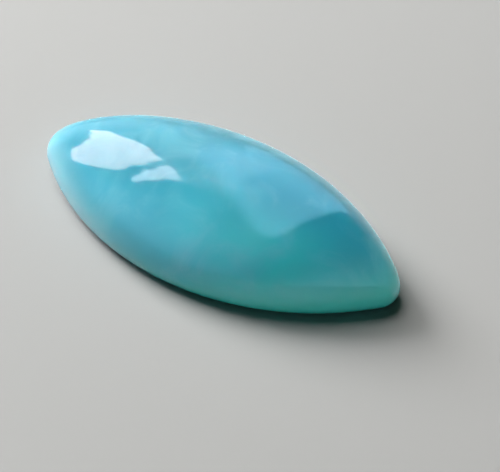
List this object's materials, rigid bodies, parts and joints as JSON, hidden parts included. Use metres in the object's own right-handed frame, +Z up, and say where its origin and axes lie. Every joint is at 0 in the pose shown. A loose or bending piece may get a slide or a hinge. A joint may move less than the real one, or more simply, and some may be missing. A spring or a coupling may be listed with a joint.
{
  "type": "polished larimar cabochon",
  "caption": "Marquise cabochon of polished pale-blue larimar: a domed top with a rounded lower edge and a flat back to rest on or glue.",
  "frame": {"origin": "middle of the flat back, on the surface that the stone rests on", "axes": "+X along the stone from tip to tip, +Y across it, +Z up out of the dome"},
  "size_m": [0.025, 0.0116, 0.0056],
  "materials": {
    "polished_larimar": "polished"
  },
  "bodies": {
    "root": {"larimar_cabochon": "polished_larimar"}
  },
  "joints": []
}
